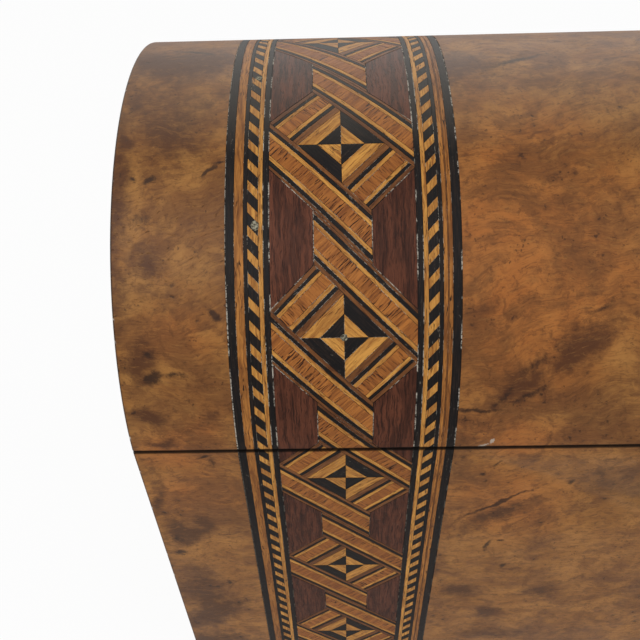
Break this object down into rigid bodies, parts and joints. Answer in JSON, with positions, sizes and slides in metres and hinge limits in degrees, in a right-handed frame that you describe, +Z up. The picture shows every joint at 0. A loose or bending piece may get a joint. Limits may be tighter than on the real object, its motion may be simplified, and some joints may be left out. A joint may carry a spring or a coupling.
{
  "type": "antique jewelry box",
  "caption": "Dome-lidded jewelry box in burr walnut veneer with parquetry bands, stop hinges, a box lock with its key, and a lift-out tray with ring rolls.",
  "frame": {"origin": "middle of the underside of the box", "axes": "+X along the length to the right, front face towards -Y, +Z up"},
  "size_m": [0.24, 0.1594, 0.1702],
  "materials": {
    "walnut_veneer": "burr walnut veneer, waxed satin",
    "light_wood": "satinwood and boxwood stringing, waxed satin",
    "tan_wood": "cross-grain tulipwood, waxed satin",
    "ebony_wood": "ebonised wood, waxed satin",
    "rosewood": "rosewood, waxed satin",
    "carcase_wood": "mahogany carcase, oiled",
    "tray_wood": "thin mahogany, waxed",
    "velvet": "worn crimson cotton velvet",
    "silk": "crimson silk satin, buttoned",
    "ribbon": "grosgrain ribbon",
    "baize": "green wool baize",
    "brass": "aged brass, hand polished",
    "iron": "old filed iron"
  },
  "bodies": {
    "case": {"case_front": "carcase_wood", "case_back": "carcase_wood", "case_left": "carcase_wood", "case_right": "carcase_wood", "case_bottom": "carcase_wood", "base_baize": "baize", "case_veneer_front": "walnut_veneer", "case_veneer_back": "walnut_veneer", "case_veneer_left": "walnut_veneer", "case_veneer_right": "walnut_veneer", "case_band_light": "light_wood", "case_band_tan": "tan_wood", "case_band_ebony": "ebony_wood", "case_band_rosewood": "rosewood", "lining_front": "velvet", "lining_back": "velvet", "lining_left": "velvet", "lining_right": "velvet", "floor_lining": "velvet", "tray_runners": "tray_wood", "hinge_case_leaves": "brass", "hinge_pins": "brass", "lock_case": "brass", "lock_plate": "brass", "escutcheon": "brass"},
    "lid": {"lid_staves": "carcase_wood", "lid_end_left": "carcase_wood", "lid_end_right": "carcase_wood", "lid_end_lining_left": "silk", "lid_end_lining_right": "silk", "lid_padding": "silk", "lid_veneer_dome": "walnut_veneer", "lid_veneer_left": "walnut_veneer", "lid_veneer_right": "walnut_veneer", "lid_band_light": "light_wood", "lid_band_tan": "tan_wood", "lid_band_ebony": "ebony_wood", "lid_band_rosewood": "rosewood", "hinge_lid_leaves": "brass", "link_plate": "brass"},
    "tray": {"tray_walls": "tray_wood", "tray_floor": "tray_wood", "tray_dividers": "tray_wood", "tray_lining": "velvet", "ring_rolls": "velvet", "tray_pulls": "ribbon"},
    "bolt": {"lock_bolt": "iron"},
    "key": {"key": "iron"}
  },
  "joints": [
    {"name": "lid_hinge", "type": "hinge", "parent": "case", "child": "lid", "pos_m": [0, 0.0655, 0.112], "axis": [-1, 0, 0], "range_deg": [0, 96]},
    {"name": "tray_lift", "type": "slide", "parent": "case", "child": "tray", "axis": [0, 0, 1], "range_m": [0, 0.015]},
    {"name": "key_turn", "type": "hinge", "parent": "case", "child": "key", "pos_m": [0, -0.057, 0.091], "axis": [0, 1, 0], "range_deg": [0, 180]},
    {"name": "bolt_slide", "type": "slide", "parent": "case", "child": "bolt", "axis": [1, 0, 0], "range_m": [0, 0.0038]}
  ],
  "couplings": [
    {"joint": "bolt_slide", "follows": "key_turn", "m_per_rad": 0.0012}
  ]
}
